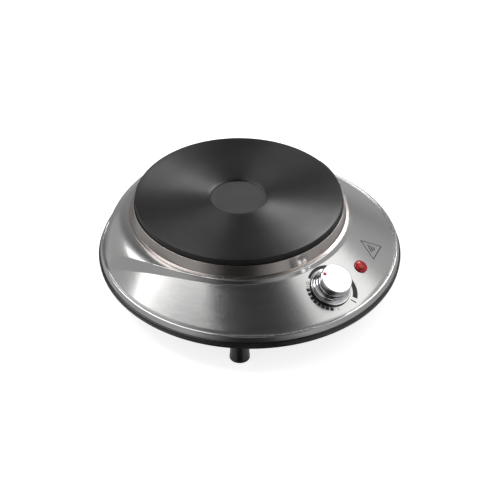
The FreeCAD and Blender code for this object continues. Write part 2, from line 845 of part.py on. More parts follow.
# ---- lamp, in its own local frame ----
def make_lens():
    rim_top = lens_seat + lens_rim
    head = rod(lens_r, lens_seat, rim_top)
    crown = Part.makeCone(lens_r - 0.2, lens_r * 0.45, lens_rise - lens_rim, vec(0, 0, rim_top))
    facet_z = rim_top + 0.6
    facets = []
    for i in range(lens_facets):
        cutter = block(lens_r, lens_r * 2, facet_z, lens_rise * 2, lens_r * 1.24)
        cutter.rotate(vec(0, 0, facet_z), vec(0, 1, 0), -lens_facet_angle)
        cutter.rotate(vec(0, 0, 0), upward, 360 / lens_facets * i)
        facets.append(cutter)
    crown = crown.cut(facets)
    stem = tube(lens_stem_r, lens_stem_r - lens_wall, -lens_stem_depth, lens_seat + 0.2)
    return head.fuse(crown).fuse(stem)


def make_lens_clip():
    top = -panel_thickness - clip_gap
    inner_r = lens_stem_r + spindle_gap
    ring = tube(inner_r + clip_width, inner_r, top - clip_sheet, top)
    collar = tube(inner_r + clip_collar_wall, inner_r, top - clip_collar, top)
    return ring.fuse(collar)


def make_lamp():
    tip = lamp_tip - lamp_r
    glass = rod(lamp_r, tip - lamp_length + lamp_r, tip)
    return glass.fuse(Part.makeSphere(lamp_r, vec(0, 0, tip)))


# ---- supply ----
def make_grommet():
    rear = rear_surface_y(inlet_z)
    outer = rear + grommet_flange
    stem = inlet_axis_cylinder(inlet_r, rear - grommet_stem, outer)
    disc = inlet_axis_cylinder(grommet_flange_r, rear - grommet_inner_flange, outer)
    skin = body_form(-grommet_gap).cut(body_form(sheet + grommet_gap, skirt_bottom_z - 2))
    flanges = disc.cut(skin)
    grommet = stem.fuse(flanges)
    return grommet.cut(inlet_axis_cylinder(cord_hole_r, rear - 10, rear + 10))


def pole_xs():
    return [mains_pole_pitch * k for k in (-1, 0, 1)]


def mains_pole_z():
    return pan_top_z + mains_block_size[2] * 0.55


def make_mains_block():
    size_x, size_y, size_z = mains_block_size
    body = block(size_x, size_y, pan_top_z, pan_top_z + size_z, y=mains_block_y)
    bores = []
    for x in pole_xs():
        start = vec(x, mains_block_y - size_y, mains_pole_z())
        bores.append(Part.makeCylinder(clamp_tube_r + fill_gap, size_y * 2, start, vec(0, 1, 0)))
        for spread in (-clamp_screw_spread, clamp_screw_spread):
            screw_y = mains_block_y + spread
            hole_r = clamp_screw_r + spindle_gap
            bores.append(rod(hole_r, mains_pole_z(), pan_top_z + size_z + 1, x, screw_y))
    hole_r = terminal_screw_r + thread_clearance
    screw_x = mains_pole_pitch / 2
    bores.append(rod(hole_r, pan_top_z - 1, pan_top_z + size_z + 1, screw_x, mains_block_y))
    return body.cut(bores)


def make_pole_tubes():
    tubes = []
    length = mains_block_size[1] - clamp_tube_inset * 2
    for x in pole_xs():
        start = vec(x, mains_block_y - length / 2, mains_pole_z())
        outer = Part.makeCylinder(clamp_tube_r, length, start, vec(0, 1, 0))
        tubes.append(outer.cut(Part.makeCylinder(clamp_bore_r, length, start, vec(0, 1, 0))))
    return tubes


def make_pole_screws():
    screws = []
    top = pan_top_z + mains_block_size[2] - clamp_screw_sink
    bottom = mains_pole_z() + clamp_tube_r + 0.2
    for x in pole_xs():
        for spread in (-clamp_screw_spread, clamp_screw_spread):
            screws.append(rod(clamp_screw_r, bottom, top, x, mains_block_y + spread))
    return screws


def make_block_screw():
    x = mains_pole_pitch / 2
    top = pan_top_z + mains_block_size[2]
    return rod(terminal_screw_r, foot_height + 0.3, top + 0.5, x, mains_block_y).fuse(
        rod(terminal_head_r, top, top + terminal_head, x, mains_block_y)
    )


def make_earth_tab():
    low = earth_tab_z - earth_tab
    ring = tube(stud_r + 3.5, stud_r + thread_clearance, low, earth_tab_z, y=plate_offset)
    tongue_y = earth_tongue_start + earth_tongue / 2
    return ring.fuse(block(blade_width, earth_tongue, low, earth_tab_z, y=tongue_y))


# ---- leads: straight runs joined by tangent arcs ----
def lead(points, radius):
    """A round lead through the points; each corner is an arc tangent to both of its runs."""
    edges = []
    start = points[0]
    for before, corner, after in zip(points, points[1:], points[2:]):
        come = corner - before
        leave = after - corner
        share = lead_bend_share * min(come.Length, leave.Length)
        come.normalize()
        leave.normalize()
        bend_in = corner - come * share
        bend_out = corner + leave * share
        half_turn = come.getAngle(leave) / 2
        bend_r = share / math.tan(half_turn)
        inward = (leave - come).normalize()
        middle = corner + inward * (bend_r / math.cos(half_turn) - bend_r)
        edges.append(Part.makeLine(start, bend_in))
        edges.append(Part.Arc(bend_in, middle, bend_out).toShape())
        start = bend_out
    edges.append(Part.makeLine(start, points[-1]))
    path = Part.Wire(edges)
    profile = Part.Wire(Part.makeCircle(radius, points[0], points[1] - points[0]))
    solid = path.makePipeShell([profile], True, False)
    true_volume = math.pi * radius ** 2 * path.Length
    print("lead", round(path.Length, 1), "mm, volume share", round(solid.Volume / true_volume, 3))
    return solid


def pin_foot(side):
    return vec(side * terminal_spread, terminal_y, cover_bottom_z - plate_block_size[2] - terminal_tail)


def blade_tip(blade):
    """End of a blade's tongue, on its centre line, in the body's frame."""
    box = blade.BoundBox
    return vec(box.XMax, (box.YMin + box.YMax) / 2, (box.ZMin + box.ZMax) / 2)


def make_leads(stack):
    floor_z = pan_top_z + 3.6
    pole_z = mains_pole_z()
    pole_end = mains_block_y - 3
    pole_clear = mains_block_y - 20
    left, _, right = pole_xs()
    shift = clamp_bore_r - lead_r - 0.2
    down = vec(0, 0, -12)
    right_foot = pin_foot(1)
    left_foot = pin_foot(-1)
    supply = knob_place.multVec(blade_tip(stack["supply_blade"][0]))
    load = knob_place.multVec(blade_tip(stack["load_blade"][0]))
    lamp_foot = lamp_tip - lamp_length
    lamp_left = lamp_place.multVec(vec(-lamp_lead_r * 1.8, 0, lamp_foot))
    lamp_right = lamp_place.multVec(vec(lamp_lead_r * 1.8, 0, lamp_foot))
    drop = lamp_place.Rotation.multVec(vec(0, 0, -5))
    tongue_end = vec(0, earth_tongue_start + earth_tongue, earth_tab_z - earth_tab / 2)
    fuse_from = vec(37, -84, floor_z)
    fuse_to = vec(20, -52, floor_z)
    leads = {
        "supply_lead": [
            vec(right, pole_end, pole_z),
            vec(right, pole_clear, pole_z),
            vec(58, 64, floor_z),
            vec(96, 22, floor_z),
            vec(96, -30, floor_z),
            vec(lamp_x + 18, lamp_y + 24, floor_z),
            supply + vec(7, -1, -13),
            supply + vec(6, 0, 0),
            supply,
        ],
        "switched_lead": [
            load,
            load + vec(6, 0, 0),
            load + vec(8, 2, -7.5),
            fuse_from,
            fuse_to,
            right_foot + down,
            right_foot,
        ],
        "neutral_lead": [
            vec(left - shift, pole_end, pole_z),
            vec(left - shift, pole_clear, pole_z),
            vec(-48, 44, floor_z),
            vec(-42, 0, floor_z),
            left_foot + down,
            left_foot,
        ],
        "earth_lead": [
            vec(0, pole_end, pole_z),
            vec(0, pole_clear, pole_z),
            vec(0, tongue_end.y + 16, tongue_end.z),
            tongue_end,
        ],
    }
    shapes = {name: lead(points, lead_r) for name, points in leads.items()}
    shapes["lamp_return_lead"] = lead(
        [
            lamp_right,
            lamp_right + drop,
            vec(lamp_x + 10, lamp_y + 30, pan_top_z + 1.6),
            vec(32, -42, pan_top_z + 1.4),
            vec(-24, -8, pan_top_z + 1.4),
            vec(-24, 50, pan_top_z + 1.6),
            vec(left + shift + 0.3, pole_clear, pole_z),
            vec(left + shift + 0.3, pole_end, pole_z),
        ],
        lamp_lead_r,
    )
    blade_side = knob_place.multVec(blade_tip(stack["load_blade"][0]) + vec(-2.5, blade_width / 2, 0))
    away = knob_place.Rotation.multVec(vec(0, 4, 0))
    shapes["lamp_feed_lead"] = lead([blade_side, blade_side + away, lamp_left + drop, lamp_left], lamp_lead_r)
    run = fuse_to - fuse_from
    middle = (fuse_from + fuse_to) * 0.5
    along = vec(run.x, run.y, run.z).normalize()
    start = middle - along * (fuse_length / 2)
    case = Part.makeCylinder(fuse_r, fuse_length, start, along)
    core = Part.makeCylinder(lead_r + spindle_gap, fuse_length, start, along)
    shapes["thermal_fuse"] = case.cut(core)
    return shapes


def main():
    os.makedirs("parts", exist_ok=True)
    save("hot_plate", make_plate())
    save("heating_coil", *make_coil())
    save("insulating_fill", *make_fill())
    save("element_cover", make_cover())
    save("plate_terminal_pins", *terminal_pins())
    save("plate_terminal_block", make_plate_block())
    stud_top = core_bottom_z + stud_depth
    save("centre_stud", rod(stud_r, nut_bottom_z - stud_tail, stud_top, y=plate_offset))
    shield_top = shield_floor_z + shield_sheet
    hole_r = stud_r + screw_clearance
    save("stud_spacer", tube(spacer_r, hole_r, shield_top, cover_bottom_z, y=plate_offset))
    save("trim_ring", make_trim_ring())
    save("top_shell", make_shell())
    save("base_pan", make_pan())
    save("heat_shield", make_heat_shield())
    save("clamp_bridge", make_bridge())
    washer_bottom = bridge_bottom_z - washer_thickness
    save("stud_washer", tube(washer_r, hole_r, washer_bottom, bridge_bottom_z, y=plate_offset))
    nut_top = nut_bottom_z + nut_height
    nut_bore_r = stud_r + thread_clearance
    save("stud_nut", hexagon(nut_flats, nut_bottom_z, nut_top, nut_bore_r, y=plate_offset))
    save("earth_tab", make_earth_tab())
    lugs = []
    screws = []
    for name, x, y, angle in foot_places():
        save("foot_" + name, make_foot(x, y))
        save("foot_pad_" + name, make_foot_pad(x, y))
        screws.append(make_foot_screw(x, y))
        lugs.append(make_lug(x, y, angle))
    save("foot_screws", *screws)
    save("shell_lugs", *lugs)

    stack = make_stack()
    leads = make_leads(stack)
    for name, shape in leads.items():
        save(name, shape)
    for name, solids in stack.items():
        save(name, *[placed(solid, knob_place) for solid in solids])
    save("thermostat_bracket", placed(make_bracket(), knob_place))
    save("spindle_bush", placed(make_bush(), knob_place))
    nut_seat = spindle_gap
    nut = hexagon(panel_nut_flats, nut_seat, nut_seat + panel_nut, bush_r + thread_clearance)
    save("panel_nut", placed(nut, knob_place))
    pin = rod(pin_r, arm_top + pin_play, spindle_bottom - pin_travel - pin_play)
    save("adjuster_pin", placed(pin, knob_place))
    save("thermostat_spindle", placed(make_spindle(), knob_place))
    save("knob_body", placed(make_knob_body(), knob_place))
    save("knob_spring", placed(make_knob_spring(), knob_place))
    save("knob_cap", placed(make_knob_cap(), knob_place))
    save("knob_pointer", placed(make_pointer(), knob_place))

    save("indicator_lens", placed(make_lens(), lamp_place))
    save("lens_clip", placed(make_lens_clip(), lamp_place))
    save("neon_lamp", placed(make_lamp(), lamp_place))

    save("cord_grommet", make_grommet())
    save("mains_terminal_block", make_mains_block())
    save("mains_pole_tubes", *make_pole_tubes())
    save("mains_pole_screws", *make_pole_screws())
    save("block_screw", make_block_screw())


main()
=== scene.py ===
import json
import math
import bpy
import bmesh
from mathutils import Matrix, Vector


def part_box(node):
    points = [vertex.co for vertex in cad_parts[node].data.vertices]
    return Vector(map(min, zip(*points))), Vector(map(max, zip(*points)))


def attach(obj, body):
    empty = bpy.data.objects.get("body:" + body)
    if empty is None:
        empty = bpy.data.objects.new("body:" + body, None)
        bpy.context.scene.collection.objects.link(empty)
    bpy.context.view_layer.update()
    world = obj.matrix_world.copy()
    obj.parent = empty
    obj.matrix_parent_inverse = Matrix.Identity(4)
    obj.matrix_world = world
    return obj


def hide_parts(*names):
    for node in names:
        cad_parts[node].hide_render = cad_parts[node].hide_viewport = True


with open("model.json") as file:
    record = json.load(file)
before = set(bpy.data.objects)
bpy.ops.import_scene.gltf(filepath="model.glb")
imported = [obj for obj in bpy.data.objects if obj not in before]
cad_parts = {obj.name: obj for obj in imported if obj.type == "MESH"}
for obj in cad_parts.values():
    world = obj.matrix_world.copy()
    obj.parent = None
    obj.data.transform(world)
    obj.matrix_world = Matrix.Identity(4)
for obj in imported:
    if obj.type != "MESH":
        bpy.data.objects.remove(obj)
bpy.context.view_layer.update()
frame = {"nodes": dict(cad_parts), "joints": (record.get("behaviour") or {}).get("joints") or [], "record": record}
nodes = frame["nodes"]
mm = 0.001

plateLow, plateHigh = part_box("hot_plate")
plateAxis = Vector(((plateLow.x + plateHigh.x) / 2, (plateLow.y + plateHigh.y) / 2, 0))
plateRadius = (plateHigh.x - plateLow.x) / 2
plateTop = plateHigh.z
knobJoint = [j for j in frame["joints"] if j["name"] == "knob_turn"][0]
knobBase = Vector(knobJoint["pos_m"])
knobAxis = Vector(knobJoint["axis"]).normalized()


def finishedObject(name, mesh, material, body="root", replaced=()):
    piece = bpy.data.objects.new(name, mesh)
    bpy.context.scene.collection.objects.link(piece)
    if material:
        mesh.materials.append(material)
    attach(piece, body)
    if replaced:
        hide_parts(*replaced)
    return piece


def shadeSmooth(mesh, sharpAngle=35):
    for face in mesh.polygons:
        face.use_smooth = True
    mesh.set_sharp_from_angle(angle=math.radians(sharpAngle))


# profile: (radius, height) in mm going round the section once; it closes on itself
def lathe(name, profile, place, steps=128, sharpAngle=35):
    bm = bmesh.new()
    rings = []
    for radius, height in profile:
        if radius < 1e-6:
            rings.append([bm.verts.new(place @ Vector((0, 0, height * mm)))])
            continue
        ring = []
        for i in range(steps):
            a = 2 * math.pi * i / steps
            spot = Vector((radius * mm * math.cos(a), radius * mm * math.sin(a), height * mm))
            ring.append(bm.verts.new(place @ spot))
        rings.append(ring)
    for k, ring in enumerate(rings):
        other = rings[(k + 1) % len(rings)]
        if len(ring) == 1 and len(other) == 1:
            continue
        for i in range(steps):
            j = (i + 1) % steps
            if len(ring) == 1:
                bm.faces.new((ring[0], other[i], other[j]))
            elif len(other) == 1:
                bm.faces.new((ring[i], other[0], ring[j]))
            else:
                bm.faces.new((ring[i], other[i], other[j], ring[j]))
    bmesh.ops.recalc_face_normals(bm, faces=bm.faces)
    mesh = bpy.data.meshes.new(name)
    bm.to_mesh(mesh)
    bm.free()
    shadeSmooth(mesh, sharpAngle)
    return mesh


def arcPoints(cx, cz, radius, start, end, count=6):
    points = []
    for i in range(count + 1):
        a = math.radians(start + (end - start) * i / count)
        points.append((cx + radius * math.cos(a), cz + radius * math.sin(a)))
    return points


def upright(x, y, z=0.0):
    return Matrix.Translation(Vector((x, y, z)))


def alongAxis(base, axis):
    right = Vector((1, 0, 0))
    right = (right - axis * right.dot(axis)).normalized()
    up = axis.cross(right)
    turn = Matrix((right, up, axis)).transposed()
    return Matrix.Translation(base) @ turn.to_4x4()


def startMaterial(name):
    material = bpy.data.materials.new(name)
    material.use_nodes = True
    tree = material.node_tree
    tree.nodes.clear()
    out = tree.nodes.new("ShaderNodeOutputMaterial")
    shader = tree.nodes.new("ShaderNodeBsdfPrincipled")
    tree.links.new(shader.outputs[0], out.inputs[0])
    return material, tree, shader


def addNode(tree, kind, settings=None, inputs=None):
    node = tree.nodes.new(kind)
    for key, value in (settings or {}).items():
        setattr(node, key, value)
    for key, value in (inputs or {}).items():
        if isinstance(value, bpy.types.NodeSocket):
            tree.links.new(value, node.inputs[key])
        else:
            node.inputs[key].default_value = value
    return node


def objectPoint(tree, shift=(0, 0, 0), stretch=(1, 1, 1)):
    coords = addNode(tree, "ShaderNodeTexCoord")
    settings = {"Vector": coords.outputs["Object"], "Location": shift, "Scale": stretch}
    return addNode(tree, "ShaderNodeMapping", None, settings).outputs[0]


# radius and angle about an upright axis, scaled for streaks that run round it
def polarPoint(tree, centre, around, across):
    place = objectPoint(tree, (-centre[0], -centre[1], 0))
    parts = addNode(tree, "ShaderNodeSeparateXYZ", None, {0: place})
    x, y, z = parts.outputs
    angle = addNode(tree, "ShaderNodeMath", {"operation": "ARCTAN2"}, {0: y, 1: x})
    xx = addNode(tree, "ShaderNodeMath", {"operation": "MULTIPLY"}, {0: x, 1: x})
    sum2 = addNode(tree, "ShaderNodeMath", {"operation": "MULTIPLY_ADD"}, {0: y, 1: y, 2: xx.outputs[0]})
    radius = addNode(tree, "ShaderNodeMath", {"operation": "SQRT"}, {0: sum2.outputs[0]})
    a = addNode(tree, "ShaderNodeMath", {"operation": "MULTIPLY"}, {0: angle.outputs[0], 1: around})
    r = addNode(tree, "ShaderNodeMath", {"operation": "MULTIPLY"}, {0: radius.outputs[0], 1: across})
    h = addNode(tree, "ShaderNodeMath", {"operation": "MULTIPLY"}, {0: z, 1: across})
    both = addNode(tree, "ShaderNodeCombineXYZ", None, {0: a.outputs[0], 1: r.outputs[0], 2: h.outputs[0]})
    return both.outputs[0]


def noiseAt(tree, place, scale, detail=3.0, roughness=0.5):
    settings = {"Vector": place, "Scale": scale, "Detail": detail, "Roughness": roughness}
    return addNode(tree, "ShaderNodeTexNoise", None, settings)


# maps a 0 to 1 texture value on to low to high
def spread(tree, value, low, high):
    settings = {"Value": value, "From Min": 0.25, "From Max": 0.75, "To Min": low, "To Max": high}
    return addNode(tree, "ShaderNodeMapRange", None, settings).outputs[0]


def tint(tree, value, dark, light):
    ramp = addNode(tree, "ShaderNodeValToRGB", None, {0: value})
    ramp.color_ramp.elements[0].position = 0.3
    ramp.color_ramp.elements[1].position = 0.7
    ramp.color_ramp.elements[0].color = (*dark, 1)
    ramp.color_ramp.elements[1].color = (*light, 1)
    return ramp.outputs[0]


def bumpFrom(tree, shader, height, strength, distance=0.0002):
    settings = {"Height": height, "Strength": strength, "Distance": distance}
    bump = addNode(tree, "ShaderNodeBump", None, settings)
    tree.links.new(bump.outputs[0], shader.inputs["Normal"])


def turnedIron():
    look = dict(
        dark=(0.078, 0.078, 0.080), light=(0.105, 0.105, 0.107), rough=(0.29, 0.36), anisotropy=0.9,
        groove=350.0, grooveDepth=0.00005,
    )
    material, tree, shader = startMaterial("turnedIron")
    place = polarPoint(tree, plateAxis, 3.0, 900.0)
    streak = noiseAt(tree, place, 1.0, 4.0, 0.6)
    cloud = noiseAt(tree, objectPoint(tree), 22.0, 3.0)
    shader.inputs["Metallic"].default_value = 1.0
    shader.inputs["Anisotropic"].default_value = look["anisotropy"]
    # the grooves run round, so the gloss spreads across them
    shader.inputs["Anisotropic Rotation"].default_value = 0.25
    tangent = addNode(tree, "ShaderNodeTangent", {"direction_type": "RADIAL", "axis": "Z"})
    tree.links.new(tangent.outputs[0], shader.inputs["Tangent"])
    tree.links.new(tint(tree, cloud.outputs[0], look["dark"], look["light"]), shader.inputs["Base Color"])
    tree.links.new(spread(tree, streak.outputs[0], *look["rough"]), shader.inputs["Roughness"])
    centred = objectPoint(tree, (-plateAxis.x, -plateAxis.y, 0))
    rings = {"wave_type": "RINGS", "rings_direction": "Z"}
    settings = {"Vector": centred, "Scale": look["groove"], "Distortion": 0.3, "Detail": 1.0}
    wave = addNode(tree, "ShaderNodeTexWave", rings, settings)
    bumpFrom(tree, shader, wave.outputs[1], 0.12, look["grooveDepth"])
    return material


def brushedSteel(name, centre, colours, rough, anisotropy, grain=0.02):
    material, tree, shader = startMaterial(name)
    place = polarPoint(tree, centre, 2.2, 1500.0)
    streak = noiseAt(tree, place, 1.0, 2.0, 0.5)
    cloud = noiseAt(tree, objectPoint(tree), 14.0, 2.0)
    shader.inputs["Metallic"].default_value = 1.0
    shader.inputs["Anisotropic"].default_value = anisotropy
    shader.inputs["Anisotropic Rotation"].default_value = 0.25
    tangent = addNode(tree, "ShaderNodeTangent", {"direction_type": "RADIAL", "axis": "Z"})
    tree.links.new(tangent.outputs[0], shader.inputs["Tangent"])
    tree.links.new(tint(tree, cloud.outputs[0], *colours), shader.inputs["Base Color"])
    tree.links.new(spread(tree, streak.outputs[0], *rough), shader.inputs["Roughness"])
    bumpFrom(tree, shader, streak.outputs[0], grain, 0.00005)
    return material


def plainMaterial(name, dark, light, rough, metallic=0.0, scale=60.0, bump=0.05, coat=0.0, depth=0.0001):
    material, tree, shader = startMaterial(name)
    cloud = noiseAt(tree, objectPoint(tree), scale, 4.0)
    fine = noiseAt(tree, objectPoint(tree), scale * 14, 3.0)
    shader.inputs["Metallic"].default_value = metallic
    shader.inputs["Coat Weight"].default_value = coat
    shader.inputs["Coat Roughness"].default_value = 0.08
    tree.links.new(tint(tree, cloud.outputs[0], dark, light), shader.inputs["Base Color"])
    tree.links.new(spread(tree, cloud.outputs[0], *rough), shader.inputs["Roughness"])
    bumpFrom(tree, shader, fine.outputs[0], bump, depth)
    return material


ironLook = turnedIron()
recessLook = plainMaterial(
    "castRecess", (0.040, 0.040, 0.041), (0.052, 0.052, 0.053), (0.42, 0.52), 0.0, 60.0, 0.12,
)
ironSide = plainMaterial("ironSide", (0.004, 0.004, 0.004), (0.010, 0.010, 0.010), (0.35, 0.5), bump=0.1)
steelLook = brushedSteel(
    "panelSteel", plateAxis, ((0.60, 0.595, 0.59), (0.66, 0.655, 0.65)), (0.19, 0.26), 0.4,
)
trimLook = brushedSteel(
    "trimSteel", plateAxis, ((0.50, 0.46, 0.44), (0.58, 0.54, 0.52)), (0.19, 0.27), 0.3, 0.03,
)
chromeLook = plainMaterial(
    "knobChrome", (0.78, 0.78, 0.80), (0.86, 0.86, 0.88), (0.03, 0.06), 1.0, 90.0, 0.01,
)
# a lighter copy of the knob chrome for the cap's top face: painted highlight
capHighlightLook = plainMaterial("knobCapHighlight", (0.93, 0.93, 0.94), (0.97, 0.97, 0.97), (0.12, 0.18), 1.0, 90.0, 0.01)
blackGloss = plainMaterial(
    "panBlack", (0.006, 0.006, 0.007), (0.013, 0.013, 0.014), (0.16, 0.30), 0.0, 40.0, 0.06, 0.3,
)
rubberLook = plainMaterial(
    "footRubber", (0.012, 0.012, 0.012), (0.025, 0.025, 0.025), (0.55, 0.75), 0.0, 80.0, 0.25,
)
inkLook = plainMaterial("dialInk", (0.012, 0.012, 0.013), (0.03, 0.03, 0.03), (0.35, 0.5), 0.0, 300.0, 0.05)
softInk = plainMaterial("markInk", (0.045, 0.045, 0.045), (0.07, 0.07, 0.07), (0.4, 0.5), 0.0, 300.0, 0.05)
redLook = plainMaterial(
    "pointerRed", (0.55, 0.004, 0.008), (0.72, 0.008, 0.014), (0.2, 0.3), 0.0, 300.0, 0.05, 0.5,
)
lensLook = plainMaterial(
    "lampRed", (0.20, 0.0, 0.001), (0.85, 0.006, 0.010), (0.14, 0.22), 0.0, 330.0, 0.02, 0.3,
)
ceramicLook = plainMaterial("steatite", (0.72, 0.69, 0.62), (0.86, 0.84, 0.78), (0.5, 0.7), 0.0, 120.0, 0.2)
brassLook = plainMaterial("brass", (0.55, 0.40, 0.17), (0.72, 0.56, 0.28), (0.22, 0.38), 1.0, 150.0, 0.08)
zincLook = plainMaterial("zincPlate", (0.48, 0.48, 0.46), (0.66, 0.66, 0.64), (0.28, 0.45), 1.0, 220.0, 0.1)
aluLook = plainMaterial("millAluminium", (0.68, 0.68, 0.68), (0.82, 0.82, 0.82), (0.3, 0.45), 1.0, 90.0, 0.1)
wireLook = plainMaterial("heatingWire", (0.22, 0.20, 0.19), (0.36, 0.33, 0.31), (0.4, 0.6), 1.0, 200.0, 0.2)
sleeveLook = plainMaterial(
    "glassSleeve", (0.62, 0.60, 0.55), (0.80, 0.78, 0.73), (0.7, 0.85), 0.0, 900.0, 0.6,
)
earthLook = plainMaterial("earthSleeve", (0.10, 0.32, 0.03), (0.70, 0.62, 0.04), (0.4, 0.5), 0.0, 60.0, 0.1)
glassLook = plainMaterial(
    "lampGlass", (0.85, 0.70, 0.55), (0.95, 0.82, 0.68), (0.03, 0.08), 0.0, 60.0, 0.01, 1.0,
)
slotLooks = {
    "cast_iron": ironSide, "stainless": steelLook, "zinc_steel": zincLook, "aluminium_sheet": aluLook,
    "black_plastic": blackGloss, "black_rubber": rubberLook, "knob_chrome": chromeLook,
    "pointer_red": redLook, "lens_red": lensLook, "lamp_glass": glassLook, "white_ceramic": ceramicLook,
    "brass_parts": brassLook, "heating_wire": wireLook, "lead_sleeve": sleeveLook, "earth_sleeve": earthLook,
}
for part in frame["record"]["subparts"]:
    node = nodes[part["node"]]
    look = slotLooks[part["material_slot"]]
    if not node.data.materials:
        node.data.materials.append(look)
    for entry in node.material_slots:
        entry.material = look
print("materials on", len(nodes), "frame nodes")

shellForm = dict(
    landR=99.0, landZ=61.4, landHoleR=88.0, wallHeight=4.4, wallRun=3.5, rimR=130.0, rimZ=35.3,
    roundness=80.0, creaseAngle=55.0, creaseR=210.0, wallLead=0.5, wallBlend=2.8, sheet=0.7, columns=360,
)


def levelShare(x, y, innerR):
    back = y - plateAxis.y / mm
    offset = plateAxis.y / mm
    gain = shellForm["rimR"] - innerR
    a = gain ** 2 - offset ** 2
    b = innerR * gain - back * offset
    c = innerR ** 2 - x ** 2 - back ** 2
    return (math.sqrt(max(b ** 2 - a * c, 0)) - b) / a


# how far outside the raised rear part a plan point lies, in mm
def creaseDistance(x, y):
    lean = math.radians(shellForm["creaseAngle"])
    side = abs(x)
    back = y - plateAxis.y / mm
    along = side * math.cos(lean) + back * math.sin(lean)
    if along <= 0:
        return math.hypot(side, back) - shellForm["landR"]
    hubReach = shellForm["landR"] - shellForm["creaseR"]
    hubX = hubReach * math.sin(lean)
    hubY = -hubReach * math.cos(lean)
    return math.hypot(side - hubX, back - hubY) - shellForm["creaseR"]


def shellHeight(x, y):
    form = shellForm
    full = math.radians(form["roundness"])
    out = min(max(levelShare(x, y, form["landR"]), 0), 1)
    turn = math.asin(out * math.sin(full))
    rear = form["landZ"] - (form["landZ"] - form["rimZ"]) * (1 - math.cos(turn)) / (1 - math.cos(full))
    wallZ = form["landZ"] - form["wallHeight"]
    front = wallZ - (wallZ - form["rimZ"]) * levelShare(x, y, form["landR"] + form["wallRun"])
    w = min(max((creaseDistance(x, y) + form["wallLead"]) / form["wallBlend"], 0), 1)
    w = w * w * (3 - 2 * w)
    return rear * (1 - w) + front * w


def rimReach(angle):
    offset = plateAxis.y / mm
    return offset * math.cos(angle) + math.sqrt(shellForm["rimR"] ** 2 - (offset * math.sin(angle)) ** 2)


# angle 0 points to the front, positive towards +X
def planPoint(angle, radius):
    return radius * math.sin(angle), plateAxis.y / mm - radius * math.cos(angle)


def reachAtDistance(angle, target, limit):
    low, high = shellForm["landR"], limit
    if creaseDistance(*planPoint(angle, high)) <= target:
        return high
    for _ in range(40):
        middle = (low + high) / 2
        if creaseDistance(*planPoint(angle, middle)) < target:
            low = middle
        else:
            high = middle
    return high


def shellRadii(angle):
    form = shellForm
    limit = rimReach(angle)
    crest = reachAtDistance(angle, 0.0, limit)
    foot = reachAtDistance(angle, form["wallRun"], limit)
    radii = []
    for start, end, count in ((form["landR"], crest, 18), (crest, foot, 10), (foot, limit, 14)):
        for i in range(count):
            radii.append(start + (end - start) * i / count)
    return radii + [limit]


def buildShell():
    form = shellForm
    # section of the rolled edge outside the rim line, (outwards, up)
    rolledEdge = (
        (0.25, -0.30), (0.50, -0.28), (0.75, 0.05), (1.10, 0.30), (1.6, 0.33), (2.2, 0.18), (2.8, -0.30),
        (3.3, -1.10), (3.65, -2.10), (3.8, -3.10), (3.8, -4.3), (3.8, -5.1),
    )
    bm = bmesh.new()
    columns = []
    for k in range(form["columns"]):
        angle = 2 * math.pi * k / form["columns"]
        column = []
        for radius in (form["landHoleR"], 90.0, 94.0, 97.0, 98.4):
            x, y = planPoint(angle, radius)
            column.append(bm.verts.new(Vector((x, y, form["landZ"])) * mm))
        for radius in shellRadii(angle):
            x, y = planPoint(angle, radius)
            column.append(bm.verts.new(Vector((x, y, shellHeight(x, y))) * mm))
        x, y = planPoint(angle, rimReach(angle))
        outwards = Vector((x, y, 0)).normalized()
        for away, rise in rolledEdge:
            spot = Vector((x, y, form["rimZ"] + rise)) + outwards * away
            column.append(bm.verts.new(spot * mm))
        columns.append(column)
    for k, column in enumerate(columns):
        other = columns[(k + 1) % len(columns)]
        for i in range(len(column) - 1):
            bm.faces.new((column[i], column[i + 1], other[i + 1], other[i]))
    bmesh.ops.remove_doubles(bm, verts=bm.verts, dist=2e-6)
    bmesh.ops.recalc_face_normals(bm, faces=bm.faces)
    if sum(f.normal.z for f in bm.faces) < 0:
        bmesh.ops.reverse_faces(bm, faces=bm.faces)
    mesh = bpy.data.meshes.new("steelShell")
    bm.to_mesh(mesh)
    bm.free()
    piece = finishedObject("steelShell", mesh, steelLook, "root", ("top_shell",))
    wall = piece.modifiers.new("wall", "SOLIDIFY")
    wall.thickness = form["sheet"] * mm
    wall.offset = -1
    cutters = []
    inletLow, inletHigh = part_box("cord_grommet")
    holes = (
        (knobBase, knobAxis, 4.8, 20),
        (Vector(lampPlace.translation), lampPlace.to_3x3() @ Vector((0, 0, 1)), 4.7, 16),
        ((inletLow + inletHigh) / 2, Vector((0, 1, 0)), 5.7, 24),
    )
    for spot, axis, radius, length in holes:
        place = Matrix.Translation(spot) @ axis.to_track_quat("Z", "Y").to_matrix().to_4x4()
        section = [(0, -length / 2), (radius, -length / 2), (radius, length / 2), (0, length / 2)]
        tool = lathe("holeTool", section, place, 64)
        cutter = bpy.data.objects.new("holeTool", tool)
        bpy.context.scene.collection.objects.link(cutter)
        cutters.append(cutter)
        hole = piece.modifiers.new("hole", "BOOLEAN")
        hole.operation = "DIFFERENCE"
        hole.solver = "EXACT"
        hole.object = cutter
    bpy.context.view_layer.update()
    depsgraph = bpy.context.evaluated_depsgraph_get()
    made = bpy.data.meshes.new_from_object(piece.evaluated_get(depsgraph))
    piece.modifiers.clear()
    piece.data = made
    shadeSmooth(made, 40)
    for cutter in cutters:
        bpy.data.objects.remove(cutter)
    return piece


# world place on the panel for plan coordinates in mm, lifted along its normal
def surfaceSpot(x, y, lift=0.0):
    step = 0.05
    sx = (shellHeight(x + step, y) - shellHeight(x - step, y)) / (2 * step)
    sy = (shellHeight(x, y + step) - shellHeight(x, y - step)) / (2 * step)
    normal = Vector((-sx, -sy, 1)).normalized()
    return (Vector((x, y, shellHeight(x, y))) + normal * lift) * mm, normal


